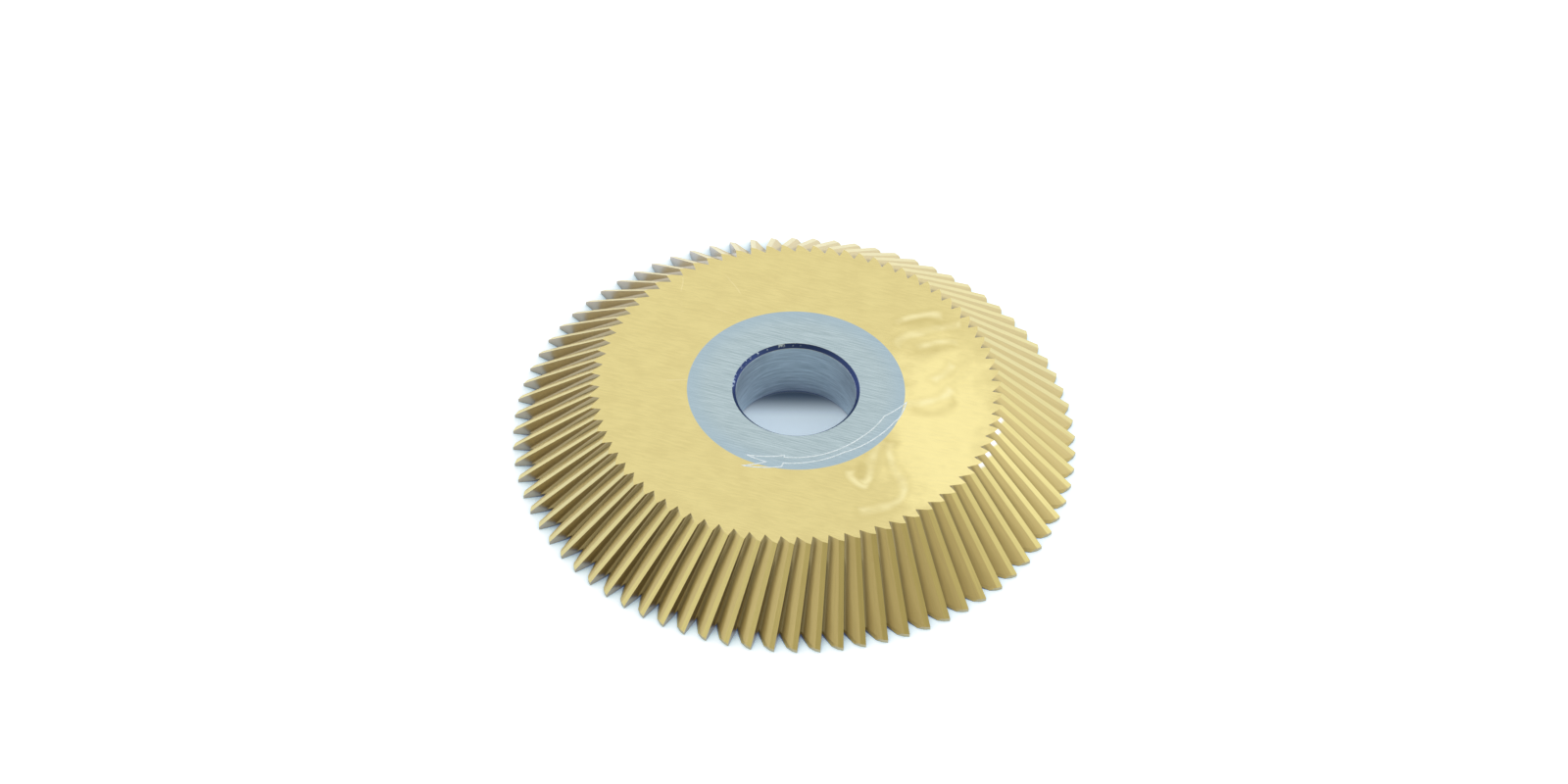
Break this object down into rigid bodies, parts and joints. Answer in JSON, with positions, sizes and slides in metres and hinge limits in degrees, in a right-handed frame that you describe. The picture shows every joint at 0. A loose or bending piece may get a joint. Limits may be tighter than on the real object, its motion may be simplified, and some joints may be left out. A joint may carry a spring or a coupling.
{
  "type": "angle milling cutter",
  "caption": "Single-angle milling cutter: a gold-coated disc with fine straight teeth on a cone, a bare ground ring and a plain chamfered bore.",
  "frame": {"origin": "centre of the bore in the plane of the large face, on which the cutter lies", "axes": "+Z along the bore axis from the large face to the small face, +X through a tooth tip"},
  "size_m": [0.06, 0.06, 0.0073],
  "materials": {
    "coated_steel": "ground high speed steel with a gold titanium nitride coating, bare at the ring round the bore and in the bore"
  },
  "bodies": {
    "root": {"cutter": "coated_steel"}
  },
  "joints": []
}
